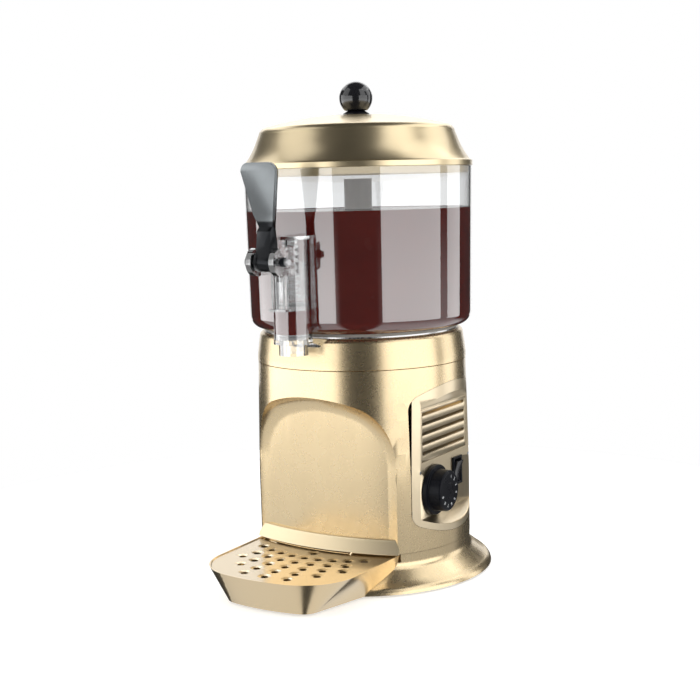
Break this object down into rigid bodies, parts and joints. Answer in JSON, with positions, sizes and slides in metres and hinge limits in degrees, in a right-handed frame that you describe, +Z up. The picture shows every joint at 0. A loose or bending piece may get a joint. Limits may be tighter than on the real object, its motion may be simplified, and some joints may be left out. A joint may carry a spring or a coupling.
{
  "type": "hot chocolate dispenser",
  "caption": "Bain-marie hot chocolate dispenser with a clear bowl and stirrer, a lever tap, a flared base with a cup recess, a drip tray and a side control panel.",
  "frame": {"origin": "the point on the floor plane, under the feet, where the axis of the bowl and stirrer meets it; the drip tray reaches further to the front than the base does to the back", "axes": "+Z up along the bowl's axis, -Y towards the tap and drip tray, +X towards the control panel"},
  "size_m": [0.26, 0.333, 0.4927],
  "materials": {
    "gold_body": "satin metallic champagne gold paint",
    "gold_lid": "glossy metallic gold moulding",
    "gold_tray": "glossy metallic gold moulding",
    "panel": "satin beige gold paint",
    "clear_bowl": "clear polycarbonate",
    "clear_tap": "clear polycarbonate",
    "white_stirrer": "white food-safe moulding",
    "black_gloss": "glossy black moulding",
    "black_satin": "satin black moulding",
    "rubber": "matt rubber",
    "seal_rubber": "grey silicone rubber",
    "steel": "brushed stainless steel",
    "zinc": "bright zinc plate",
    "alloy": "cast alloy",
    "beige_plastic": "moulded beige plastic"
  },
  "bodies": {
    "base": {"base_flange": "gold_body", "base_plate": "zinc", "base_screws": "zinc", "rubber_feet": "rubber", "body_shell": "gold_body", "recess_lip": "gold_body", "collar_ring": "gold_body", "control_panel": "panel", "panel_screws": "zinc", "louvre_grille": "panel", "thermostat_body": "beige_plastic", "switch_housing": "black_satin", "water_bath_pan": "steel", "heating_element": "alloy", "limit_thermostat": "black_satin", "bowl_seal": "seal_rubber", "shaft_bush": "beige_plastic", "motor_plate": "zinc", "motor_screws": "zinc", "plate_pillars": "zinc", "gearbox": "alloy", "motor": "steel", "inlet_gland": "black_satin", "terminal_block": "beige_plastic"},
    "tray": {"drip_tray": "gold_tray"},
    "grille": {"drip_grille": "gold_body"},
    "bowl": {"bowl": "clear_bowl", "tap_body": "clear_tap", "tap_cap": "clear_tap", "pivot_pin": "steel", "pin_cap": "black_gloss", "pin_clip": "black_satin", "tap_spring": "steel"},
    "lever": {"tap_lever": "black_gloss"},
    "piston": {"tap_piston": "clear_tap", "piston_rings": "rubber"},
    "stirrer": {"stirrer": "white_stirrer"},
    "shaft": {"drive_shaft": "steel"},
    "lid": {"lid": "gold_lid", "lid_knob": "black_gloss", "knob_washer": "black_satin", "lid_screw": "zinc"},
    "dial": {"thermostat_dial": "black_satin", "thermostat_spindle": "steel"},
    "rocker": {"switch_rocker": "black_gloss"}
  },
  "joints": [
    {"name": "bowl_lift", "type": "slide", "parent": "base", "child": "bowl", "axis": [0, 0, 1], "range_m": [0, 0.195]},
    {"name": "lid_lift", "type": "slide", "parent": "bowl", "child": "lid", "axis": [0, 0, 1], "range_m": [0, 0.1]},
    {"name": "tap_lever_pull", "type": "hinge", "parent": "bowl", "child": "lever", "pos_m": [0, -0.163, 0.322], "axis": [1, 0, 0], "range_deg": [0, 45], "stiffness_Nm_per_rad": 0.6, "springref_deg": -20.05},
    {"name": "tap_piston_rise", "type": "slide", "parent": "bowl", "child": "piston", "axis": [0, 0, 1], "range_m": [0, 0.0206], "deforming": ["tap_spring"]},
    {"name": "stirrer_spin", "type": "hinge", "parent": "bowl", "child": "stirrer", "pos_m": [0, 0, 0.3], "axis": [0, 0, 1], "continuous": true},
    {"name": "shaft_spin", "type": "hinge", "parent": "base", "child": "shaft", "pos_m": [0, 0, 0.25], "axis": [0, 0, 1], "continuous": true},
    {"name": "tray_pull", "type": "slide", "parent": "base", "child": "tray", "axis": [0, -1, 0], "range_m": [0, 0.11]},
    {"name": "grille_lift", "type": "slide", "parent": "tray", "child": "grille", "axis": [0, 0, 1], "range_m": [0, 0.04]},
    {"name": "dial_turn", "type": "hinge", "parent": "base", "child": "dial", "pos_m": [0.0951, -0.0265, 0.091], "axis": [-1, 0, 0], "range_deg": [0, 270]},
    {"name": "rocker_tilt", "type": "hinge", "parent": "base", "child": "rocker", "pos_m": [0.0905, 0.024, 0.1], "axis": [0, -1, 0], "range_deg": [0, 14]}
  ],
  "couplings": [
    {"joint": "tap_piston_rise", "follows": "tap_lever_pull", "m_per_rad": 0.0261},
    {"joint": "shaft_spin", "follows": "stirrer_spin", "ratio": 1}
  ]
}
